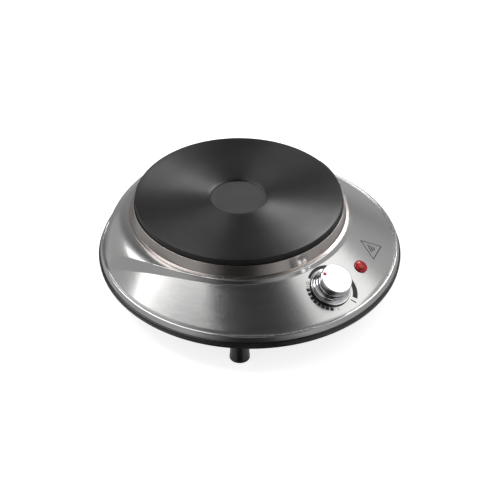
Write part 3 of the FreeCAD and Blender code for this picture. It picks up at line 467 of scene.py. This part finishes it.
lensAt = dict(x=41.3, y=-100.54)
lampSpot, lampNormal = surfaceSpot(lensAt["x"], lensAt["y"])
lampPlace = alongAxis(lampSpot, lampNormal)
steelShell = buildShell()
print("shell faces", len(steelShell.data.polygons))

plateForm = dict(edgeRound=0.9, recessR=25.0, recessDepth=1.2, rimThick=12.0, coreThick=15.5, coreInset=6.5)


def buildPlate():
    form = plateForm
    r = plateRadius / mm
    top = plateTop / mm
    edge = form["edgeRound"]
    rimBottom = top - form["rimThick"]
    coreBottom = top - form["coreThick"]
    coreR = r - form["coreInset"]
    profile = [(0, top - form["recessDepth"])]
    profile += [(form["recessR"] * k / 6, top - form["recessDepth"]) for k in range(1, 6)]
    profile += arcPoints(form["recessR"] - 0.5, top - form["recessDepth"] + 0.5, 0.5, -90, -30, 3)
    profile += arcPoints(form["recessR"] + 0.6, top - 0.4, 0.4, 150, 90, 3)
    steps = 14
    flatStart = form["recessR"] + 1
    profile += [(flatStart + (r - edge - flatStart) * k / steps, top) for k in range(1, steps)]
    profile += arcPoints(r - edge, top - edge, edge, 90, 0, 6)
    profile += [(r, top - 3), (r, rimBottom + 0.4), (r - 0.4, rimBottom), (coreR, rimBottom)]
    profile += [(coreR, coreBottom), (0, coreBottom)]
    mesh = lathe("cookingPlate", profile, upright(plateAxis.x, plateAxis.y), 256, 50)
    piece = finishedObject("cookingPlate", mesh, ironLook, "root", ("hot_plate",))
    mesh.materials.append(ironSide)
    mesh.materials.append(recessLook)
    for face in mesh.polygons:
        spot = face.center
        away = math.hypot(spot.x - plateAxis.x, spot.y - plateAxis.y) / mm
        if away < form["recessR"] and spot.z > (top - form["recessDepth"] - 0.1) * mm:
            face.material_index = 2
        if away > r - edge and spot.z < (top - 0.02) * mm or face.normal.z < -0.2:
            face.material_index = 1
    return piece


def buildTrim():
    low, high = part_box("trim_ring")
    top = high.z / mm
    flangeR = (high.x - low.x) / 2 / mm
    land = shellForm["landZ"]
    form = dict(gap=0.5, sheet=0.7, flare=1.9, lip=4.0)
    r0 = plateRadius / mm + form["gap"]
    sheet = form["sheet"]
    footR = r0 + form["flare"]
    lipZ = plateTop / mm - plateForm["rimThick"]
    seatZ = land + sheet
    profile = arcPoints(r0 + sheet / 2, top - sheet / 2, sheet / 2, 180, 0, 6)
    profile += [(r0 + sheet + 0.55, top - 3.0), (r0 + sheet + 1.2, top - 6.2)]
    profile += [(footR + sheet - 0.15, seatZ + 0.9)]
    profile += arcPoints(footR + sheet + 0.45, seatZ + 0.55, 0.5, 180, 270, 4)
    profile += arcPoints(flangeR - 0.35, seatZ - 0.35, 0.35, 90, 0, 4)
    lipR = plateRadius / mm - form["lip"]
    profile += [(flangeR, land), (footR, land), (footR - 0.85, lipZ - sheet), (lipR, lipZ - sheet)]
    profile += [(lipR, lipZ), (r0 + 0.95, lipZ)]
    mesh = lathe("trimRing", profile, upright(plateAxis.x, plateAxis.y), 256, 50)
    return finishedObject("trimRing", mesh, trimLook, "root", ("trim_ring",))


buildPlate()
buildTrim()
print("plate and trim made")

knobForm = dict(
    gap=0.8, flangeR=18.0, flangeTop=2.7, waist=7.6, capR=14.2, height=17.0, roll=1.0, wall=1.2,
    boreR=3.05, hubR=5.6, hubLow=3.7, pointerR=1.5, pointerAt=11.0, pointerAngle=129.0,
)
knobPlace = alongAxis(knobBase, knobAxis)


def buildKnob():
    f = knobForm
    gap, flangeR, flangeTop, waist, capR = (f[k] for k in ("gap", "flangeR", "flangeTop", "waist", "capR"))
    skirt = [(flangeR - 0.5, gap)]
    skirt += arcPoints(flangeR - 0.5, gap + 0.5, 0.5, -60, 0, 3)
    skirt += arcPoints(flangeR - 0.5, flangeTop - 0.5, 0.5, 0, 90, 5)
    skirt += [(flangeR - 1.3, flangeTop), (flangeR - 1.45, flangeTop + 0.12)]
    skirt += [(flangeR - 1.6, flangeTop + 0.3)]
    for i in range(1, 11):
        share = i / 10
        swing = math.radians(90 * share)
        x = flangeR - 1.6 - (flangeR - 1.6 - capR) * math.sin(swing)
        z = flangeTop + 0.3 + (waist - flangeTop - 0.3) * (1 - math.cos(swing))
        skirt.append((x, z))
    collarR = capR - f["wall"] - 0.15
    skirt += [(collarR, waist), (collarR, waist + 1.2), (f["hubR"], waist + 1.2), (f["hubR"], f["hubLow"])]
    skirt += [(f["boreR"], f["hubLow"]), (f["boreR"], waist - 2.0)]
    skirt += [(capR - 2.0, waist - 2.0), (capR - 2.0, gap)]
    mesh = lathe("knobSkirt", skirt, knobPlace, 128, 40)
    finishedObject("knobSkirt", mesh, chromeLook, "knob", ("knob_body",))
    roll = f["roll"]
    top = f["height"]
    innerR = capR - f["wall"]
    cap = [(innerR, waist + 0.12), (capR - 0.15, waist + 0.12), (capR, waist + 0.3), (capR, top - roll - 2.5)]
    cap += arcPoints(capR - roll, top - roll, roll, 0, 90, 7)
    cap += [(capR - roll - 2.0, top), (capR * 0.5, top), (0, top), (0, top - f["wall"])]
    cap += [(innerR, top - f["wall"])]
    mesh = lathe("knobCap", cap, knobPlace, 128, 40)
    piece = finishedObject("knobCap", mesh, chromeLook, "knob", ("knob_cap",))
    # faces looking along the knob's axis take the lighter chrome copy: painted highlight on the cap's top
    mesh.materials.append(capHighlightLook)
    for face in mesh.polygons:
        if face.normal.dot(knobAxis) > 0.95:
            face.material_index = 1
    a = math.radians(f["pointerAngle"])
    reach = f["pointerAt"]
    spot = knobPlace @ Vector((reach * math.cos(a) * mm, reach * math.sin(a) * mm, top * mm))
    dot = [(0, -0.1), (f["pointerR"], -0.1), (f["pointerR"], 0.1)]
    dot += [(f["pointerR"] * math.cos(t), 0.1 + 0.22 * math.sin(t)) for t in (0.4, 0.8, 1.2)] + [(0, 0.33)]
    dotPlace = Matrix.Translation(spot) @ knobPlace.to_3x3().to_4x4()
    mesh = lathe("knobPointer", dot, dotPlace, 40, 40)
    finishedObject("knobPointer", mesh, redLook, "knob", ("knob_pointer",))


def buildKnobShadeRing():
    # a thin black ring in the gap between the skirt and the panel is painted shade: it stands in for the shadow
    # and dark reflection under the knob's skirt
    ring = dict(inner=14.0, outer=18.4, low=0.12, top=0.8)
    inner, outer, low, top = (ring[k] for k in ("inner", "outer", "low", "top"))
    section = [(inner, low), (outer, low), (outer, top), (inner, top)]
    mesh = lathe("knobShadeRing", section, knobPlace, 96, 40)
    finishedObject("knobShadeRing", mesh, blackGloss, "knob")


buildKnob()
buildKnobShadeRing()
print("knob made")


def buildLens():
    f = dict(radius=6.2, seat=0.25, rim=1.0, rise=3.4, stemR=4.4, stemWall=0.8, stemDrop=9.0, facets=8)
    bm = bmesh.new()
    n = f["facets"] * 8
    seatTop = f["seat"] + f["rim"]

    def ring(radius, z, count=n, turn=0.0):
        spots = []
        for i in range(count):
            a = 2 * math.pi * (i + turn) / count
            spot = Vector((radius * math.cos(a), radius * math.sin(a), z)) * mm
            spots.append(bm.verts.new(lampPlace @ spot))
        return spots

    def bridge(a, b):
        for i in range(len(a)):
            j = (i + 1) % len(a)
            bm.faces.new((a[i], b[i], b[j], a[j]))

    r = f["radius"]
    seat, stemR, stemLow = f["seat"], f["stemR"], -f["stemDrop"]
    boreR = stemR - f["stemWall"]
    rings = [
        ring(boreR, seat - 0.1), ring(boreR, stemLow), ring(stemR, stemLow), ring(stemR, seat),
        ring(r - 0.2, seat), ring(r, seat + 0.2), ring(r, seatTop - 0.3), ring(r - 0.3, seatTop),
        ring(r - 0.75, seatTop), ring(r - 0.9, seatTop - 0.1),
    ]
    for a, b in zip(rings, rings[1:]):
        bridge(a, b)
    inner = rings[-1]
    m = f["facets"]
    girdle = ring(r - 1.6, seatTop + 1.2, m, 0.5)
    table = ring(r - 3.6, f["rise"] - 0.25, m)
    crown = bm.verts.new(lampPlace @ (Vector((0, 0, f["rise"])) * mm))
    per = n // m
    for i in range(m):
        for k in range(per):
            a = inner[(i * per + k) % n]
            b = inner[(i * per + k + 1) % n]
            bm.faces.new((a, girdle[i], b))
        j = (i + 1) % m
        bm.faces.new((inner[((i + 1) * per) % n], girdle[i], girdle[j]))
        bm.faces.new((girdle[i], table[j], girdle[j]))
        bm.faces.new((girdle[i], table[i], table[j]))
        bm.faces.new((table[i], crown, table[j]))
    bm.faces.new(list(reversed(rings[0])))
    bmesh.ops.recalc_face_normals(bm, faces=bm.faces)
    mesh = bpy.data.meshes.new("lampLens")
    bm.to_mesh(mesh)
    bm.free()
    shadeSmooth(mesh, 12)
    return finishedObject("lampLens", mesh, lensLook, "root", ("indicator_lens",))


buildLens()
print("lens made")

inkThick = 0.06


# a thin ink patch: spotAt(u, v) gives plan millimetres for u and v from 0 to 1
def printedPatch(name, material, spotAt, across, along):
    bm = bmesh.new()
    layers = []
    for lift in (0.01, inkThick):
        grid = []
        for i in range(along + 1):
            row = []
            for j in range(across + 1):
                x, y = spotAt(i / along, j / across)
                row.append(bm.verts.new(surfaceSpot(x, y, lift)[0]))
            grid.append(row)
        layers.append(grid)
    low, high = layers
    for i in range(along):
        for j in range(across):
            bm.faces.new((high[i][j], high[i + 1][j], high[i + 1][j + 1], high[i][j + 1]))
            bm.faces.new((low[i][j], low[i][j + 1], low[i + 1][j + 1], low[i + 1][j]))
    edge = [(i, 0) for i in range(along)] + [(along, j) for j in range(across)]
    edge += [(i, across) for i in range(along, 0, -1)] + [(0, j) for j in range(across, 0, -1)]
    for (i, j), (k, m) in zip(edge, edge[1:] + edge[:1]):
        bm.faces.new((low[i][j], low[k][m], high[k][m], high[i][j]))
    bmesh.ops.recalc_face_normals(bm, faces=bm.faces)
    mesh = bpy.data.meshes.new(name)
    bm.to_mesh(mesh)
    bm.free()
    return finishedObject(name, mesh, material, "root")


# plan millimetres of a place round the knob; angle in degrees from +X, seen along the knob's axis
def dialSpot(angle, radius):
    a = math.radians(angle)
    spot = knobPlace @ Vector((radius * math.cos(a) * mm, radius * math.sin(a) * mm, 0))
    return spot.x / mm, spot.y / mm


def dialArc(name, start, end, inner, outer, material=inkLook):
    def spotAt(u, v):
        r0 = inner[0] + (inner[1] - inner[0]) * u
        r1 = outer[0] + (outer[1] - outer[0]) * u
        return dialSpot(start + (end - start) * u, r0 + (r1 - r0) * v)

    steps = max(2, int(abs(end - start) / 3))
    return printedPatch(name, material, spotAt, 2, steps)


def inkLine(name, a, b, width, material):
    ax, ay = a
    bx, by = b
    length = math.hypot(bx - ax, by - ay)
    nx, ny = -(by - ay) / length, (bx - ax) / length

    def spotAt(u, v):
        x = ax + (bx - ax) * u + nx * width * (v - 0.5)
        y = ay + (by - ay) * u + ny * width * (v - 0.5)
        return x, y

    return printedPatch(name, material, spotAt, 1, max(1, int(length / 2)))


def buildDial():
    dial = dict(
        start=124.0, end=-51.0, inner=(18.7, 20.9), outer=(21.3, 25.4), tick=-61.0,
        firstBlock=156.0, blockStep=11.4, blocks=8, blockHalf=4.2,
    )
    dialArc("dialHeatArc", dial["start"], dial["end"], dial["inner"], dial["outer"])
    dialArc("dialLastTick", dial["tick"] + 1.3, dial["tick"] - 1.3, (20.4, 20.4), (25.8, 25.8), softInk)
    half = dial["blockHalf"]
    for i in range(dial["blocks"]):
        angle = dial["firstBlock"] + dial["blockStep"] * i
        dialArc("dialBlock%d" % (i + 1), angle + half, angle - half, (19.2, 19.2), (22.2, 22.2))
    # a small ring for off and a small bar for the last step
    dialRing("dialOffMark", 138.0, 20.6, 1.15, 0.35)
    dialArc("dialOffBar", 147.6, 146.2, (19.6, 19.6), (21.8, 21.8))
    dialArc("dialTopBar", 253.6, 252.4, (20.0, 20.0), (22.4, 22.4), softInk)


def dialRing(name, angle, radius, ringR, width):
    cx, cy = dialSpot(angle, radius)

    def spotAt(u, v):
        a = 2 * math.pi * u * 0.999
        r = ringR - width / 2 + width * v
        return cx + r * math.cos(a), cy + r * math.sin(a)

    return printedPatch(name, inkLook, spotAt, 1, 28)


def buildMark():
    corners = ((61.9, -77.5), (79.6, -87.2), (59.5, -98.0))
    middle = (sum(c[0] for c in corners) / 3, sum(c[1] for c in corners) / 3)
    inset = [(middle[0] + (c[0] - middle[0]) * 0.95, middle[1] + (c[1] - middle[1]) * 0.95) for c in corners]
    for i in range(3):
        inkLine("panelMarkSide%d" % (i + 1), inset[i], inset[(i + 1) % 3], 0.75, softInk)
    for k, (shift, half) in enumerate(((-2.6, 1.6), (0.0, 2.8), (2.6, 3.8))):
        cx = middle[0] - shift * 0.8
        cy = middle[1] + shift * 0.25
        low, high = (cx - 0.3 * half, cy - half), (cx + 0.3 * half, cy + half)
        inkLine("panelMarkBar%d" % (k + 1), low, high, 1.1, softInk)


buildDial()
buildMark()
print("printed marks made")

footSpots = {}
for corner in ("front_left", "front_right", "rear_left", "rear_right"):
    low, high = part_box("foot_" + corner)
    footSpots[corner] = ((low.x + high.x) / 2, (low.y + high.y) / 2, high.z)


def buildFeet():
    f = dict(topR=8.0, bottomR=8.8, padTop=2.0, boreR=4.8, screwR=2.3, webLow=14.0)
    for corner, (x, y, top) in footSpots.items():
        t = top / mm
        topR, bottomR, padTop, boreR = (f[k] for k in ("topR", "bottomR", "padTop", "boreR"))
        profile = [(topR + 0.35, t), (topR + 0.1, t - 0.5), (topR, t - 1.4), (topR + 0.25, t * 0.5)]
        profile += [(bottomR - 0.35, 5.0), (bottomR - 0.05, 3.2), (bottomR, padTop + 0.5)]
        profile += [(bottomR - 0.3, padTop), (boreR, padTop), (boreR, f["webLow"])]
        profile += [(f["screwR"], f["webLow"]), (f["screwR"], t)]
        camel = "".join(w.capitalize() for w in corner.split("_"))
        mesh = lathe("foot" + camel, profile, upright(x, y), 72, 40)
        finishedObject("foot" + camel, mesh, blackGloss, "root", ("foot_" + corner,))
        pad = [(0, 6.0), (4.4, 6.0), (4.4, padTop - 0.05), (bottomR - 0.15, padTop - 0.05)]
        pad += arcPoints(bottomR - 0.8, 0.8, 0.8, 20, -90, 6) + [(5.0, 0.0), (4.6, 0.35), (0, 0.35)]
        mesh = lathe("footPad" + camel, pad, upright(x, y), 72, 40)
        finishedObject("footPad" + camel, mesh, rubberLook, "root", ("foot_pad_" + corner,))


buildFeet()
print("feet made")

cameraSetup = dict(azimuth=-40.6, elevation=36.03, distance=1.9, lens=153.99, aimRight=0.3, aimDown=1.432)
lightSetup = (
    # name, azimuth from the camera's (positive to its right), elevation, distance, width, height, brightness
    ("leftSoftbox", -111.5, 56.5, 1.6, 0.88, 1.30, 3.1),
    ("rightSoftbox", 109, 52, 1.6, 1.10, 0.85, 1.0),
    ("rearSoftbox", 157, 44, 2.0, 0.60, 0.50, 8.0),
    ("frontFill", 0, 50, 2.4, 1.20, 0.50, 0.35),
)
# how bright the studio is to the sides and behind; it is dark overhead and on the camera's own side
sideGlow = ((0.0, 0.02), (0.22, 0.03), (0.42, 0.18), (0.65, 0.46), (1.0, 0.42))
backGlow = ((0.0, 0.0), (0.62, 0.0), (0.80, 0.05), (0.92, 0.28), (1.0, 0.50))


def directionFrom(azimuth, elevation):
    a, e = math.radians(azimuth), math.radians(elevation)
    return Vector((math.sin(a) * math.cos(e), -math.cos(a) * math.cos(e), math.sin(e)))


def buildStudio():
    target = Vector((plateAxis.x, plateAxis.y, plateTop))
    away = directionFrom(cameraSetup["azimuth"], cameraSetup["elevation"])
    data = bpy.data.cameras.new("studioCamera")
    data.lens = cameraSetup["lens"]
    data.sensor_width = 36.0
    data.clip_end = 20
    camera = bpy.data.objects.new("studioCamera", data)
    bpy.context.scene.collection.objects.link(camera)
    camera.location = target + away * cameraSetup["distance"]
    looking = (-away).to_track_quat("-Z", "Y").to_matrix()
    nudgeDown = Matrix.Rotation(-math.radians(cameraSetup["aimDown"]), 3, "X")
    nudgeRight = Matrix.Rotation(-math.radians(cameraSetup["aimRight"]), 3, "Y")
    camera.rotation_euler = (looking @ nudgeDown @ nudgeRight).to_euler()
    bpy.context.scene.camera = camera
    for name, azimuth, elevation, distance, width, height, brightness in lightSetup:
        lamp = bpy.data.lights.new(name, "AREA")
        lamp.shape = "RECTANGLE"
        lamp.size = width
        lamp.size_y = height
        lamp.energy = brightness * math.pi * width * height
        holder = bpy.data.objects.new(name, lamp)
        bpy.context.scene.collection.objects.link(holder)
        direction = directionFrom(cameraSetup["azimuth"] + azimuth, elevation)
        holder.location = target + direction * distance
        holder.rotation_euler = direction.to_track_quat("Z", "Y").to_euler()
    floorMesh = bpy.data.meshes.new("studioFloor")
    half = 6.0
    corners = [(-half, -half, 0), (half, -half, 0), (half, half, 0), (-half, half, 0)]
    floorMesh.from_pydata(corners, [], [(0, 1, 2, 3)])
    floor = bpy.data.objects.new("studioFloor", floorMesh)
    bpy.context.scene.collection.objects.link(floor)
    material, tree, shader = startMaterial("studioFloor")
    cloud = noiseAt(tree, objectPoint(tree), 3.0, 2.0)
    pale = tint(tree, cloud.outputs[0], (0.90, 0.90, 0.90), (0.92, 0.92, 0.92))
    tree.links.new(pale, shader.inputs["Base Color"])
    shader.inputs["Roughness"].default_value = 0.9
    shader.inputs["Emission Color"].default_value = (1, 1, 1, 1)
    shader.inputs["Emission Strength"].default_value = 0.80
    floorMesh.materials.append(material)
    floor.visible_glossy = False
    buildWorld()


def glowRamp(tree, value, stops):
    ramp = addNode(tree, "ShaderNodeValToRGB", {}, {0: value})
    ramp.color_ramp.interpolation = "EASE"
    elements = ramp.color_ramp.elements
    for position, level in stops[1:-1]:
        elements.new(position)
    for element, (position, level) in zip(elements, stops):
        element.position = position
        element.color = (level, level, level, 1)
    return ramp.outputs[0]


def buildWorld():
    world = bpy.data.worlds.new("studioWorld")
    bpy.context.scene.world = world
    world.use_nodes = True
    tree = world.node_tree
    tree.nodes.clear()
    out = tree.nodes.new("ShaderNodeOutputWorld")
    back = tree.nodes.new("ShaderNodeBackground")
    tree.links.new(back.outputs[0], out.inputs[0])
    coords = addNode(tree, "ShaderNodeTexCoord")
    turn = (0, 0, -math.radians(cameraSetup["azimuth"]))
    settings = {"Vector": coords.outputs["Generated"], "Rotation": turn}
    turned = addNode(tree, "ShaderNodeMapping", {"vector_type": "POINT"}, settings)
    parts = addNode(tree, "ShaderNodeSeparateXYZ", None, {0: turned.outputs[0]})
    side = addNode(tree, "ShaderNodeMath", {"operation": "ABSOLUTE"}, {0: parts.outputs[0]})
    halved = {0: parts.outputs[1], 1: 0.5, 2: 0.5}
    behind = addNode(tree, "ShaderNodeMath", {"operation": "MULTIPLY_ADD"}, halved)
    both = addNode(tree, "ShaderNodeMix", {"data_type": "RGBA", "blend_type": "LIGHTEN"}, {"Factor": 1.0})
    tree.links.new(glowRamp(tree, side.outputs[0], sideGlow), both.inputs[6])
    tree.links.new(glowRamp(tree, behind.outputs[0], backGlow), both.inputs[7])
    tree.links.new(both.outputs[2], back.inputs[0])
    bpy.context.scene.view_settings.view_transform = "Standard"


buildStudio()
print("studio made")
